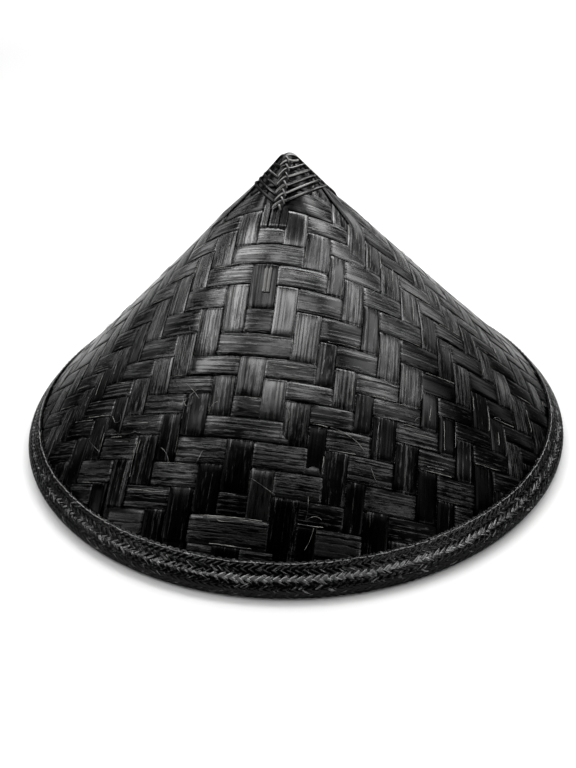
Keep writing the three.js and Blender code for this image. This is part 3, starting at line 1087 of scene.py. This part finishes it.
# The floor, the light and the camera
FLOOR_HALF = 4
floor_material = bpy.data.materials.new("pale_floor")
floor_material.use_nodes = True
floor_shader = floor_material.node_tree.nodes["Principled BSDF"]
set_inputs(floor_shader, {"Base Color": (0.5, 0.5, 0.5, 1), "Roughness": 0.8})
floor_mesh = bpy.data.meshes.new("floor")
floor_corners = [(x * FLOOR_HALF, y * FLOOR_HALF, 0) for x, y in ((-1, -1), (1, -1), (1, 1), (-1, 1))]
floor_mesh.from_pydata(floor_corners, [], [(0, 1, 2, 3)])
floor_mesh.materials.append(floor_material)
floor = add_object("floor", floor_mesh)

HAT, BAND, FLOOR = (0, 0, 0.1), (0, 0, 0.02), (0, 0, 0)
LIGHTS = (
    # name, size, place, the point it faces, and power, in metres and watts
    # Three dim ones show in the front of the hat
    ("left_sheen", (0.75, 0.55), (-0.78, -0.34, 1.15), HAT, 9.5),
    ("front_sheen", (0.8, 0.26), (0.08, -0.54, 1.15), HAT, 3.6),
    ("right_sheen", (0.8, 0.55), (0.92, -0.12, 1.15), HAT, 6.2),
    # Others show in its flanks and its back
    ("right_flank", (0.5, 0.5), (1.65, 0.3, 1.1), HAT, 2.6),
    ("right_back", (2.2, 0.9), (1.9, 2.33, 1.0), HAT, 12),
    ("left_back", (2.2, 0.9), (-2.72, 1.27, 1.0), HAT, 11),
    # Two low ones show in the band
    ("low_right", (1.6, 0.3), (1.9, -1.1, 0.95), BAND, 12),
    ("low_left", (1.6, 0.3), (-1.9, -1.1, 0.95), BAND, 8),
    # The brightest ones light the floor
    ("overhead", (1.8, 0.5), (0, 0.4, 1.4), FLOOR, 27),
    ("overhead_back", (1.8, 0.5), (0, 1.1, 1.4), (0, 0.6, 0), 12),
    ("backdrop", (4.0, 1.6), (-0.6, 2.9, 1.6), (-0.6, 2.9, 0), 122),
)

for name, size, place, aim, power in LIGHTS:
    light = bpy.data.lights.new(name, "AREA")
    light.shape = "RECTANGLE"
    light.size, light.size_y = size
    light.energy = power
    toward = Vector(aim) - Vector(place)
    turned = toward.to_track_quat("-Z", "Y").to_matrix().to_4x4()
    add_object(name, light).matrix_world = Matrix.Translation(place) @ turned

world = bpy.data.worlds.new("studio")
bpy.context.scene.world = world
world.use_nodes = True
set_inputs(world.node_tree.nodes["Background"], {"Color": (1, 1, 1, 1), "Strength": 0.02})

# The camera stands at the photograph's angle. The hat's foot shows at this place in the frame.
PHOTO_SIZE = (576, 768)
FOOT_PIXEL = (294.4, 408.5)
CAMERA_DISTANCE = 640
CAMERA_ELEVATION = 33.75
CAMERA_ROLL = -1.84
CAMERA_AZIMUTH = 12.67  # the front seam shows a little left of the middle
LENS = 38.0
SENSOR = 36


def add_camera():
    data = bpy.data.cameras.new("camera")
    data.lens = LENS
    data.sensor_width = SENSOR
    camera = add_object("camera", data)
    rise_angle = math.radians(CAMERA_ELEVATION)
    place = Vector((0, -math.cos(rise_angle), math.sin(rise_angle))) * CAMERA_DISTANCE * MM
    look = (-place).to_track_quat("-Z", "Y").to_matrix()
    roll = Matrix.Rotation(math.radians(CAMERA_ROLL), 3, "Z")
    focal = LENS / SENSOR * PHOTO_SIZE[1]
    ray = Vector((FOOT_PIXEL[0] - PHOTO_SIZE[0] / 2, PHOTO_SIZE[1] / 2 - FOOT_PIXEL[1], -focal))
    aside = Vector((0, 0, -1)).rotation_difference(ray).to_matrix()
    turned = (look @ roll @ aside.inverted()).to_4x4()
    around_hat = Matrix.Rotation(math.radians(CAMERA_AZIMUTH), 4, "Z")
    camera.matrix_world = around_hat @ Matrix.Translation(place) @ turned
    bpy.context.scene.camera = camera


add_camera()
bpy.context.scene.view_settings.view_transform = "Standard"
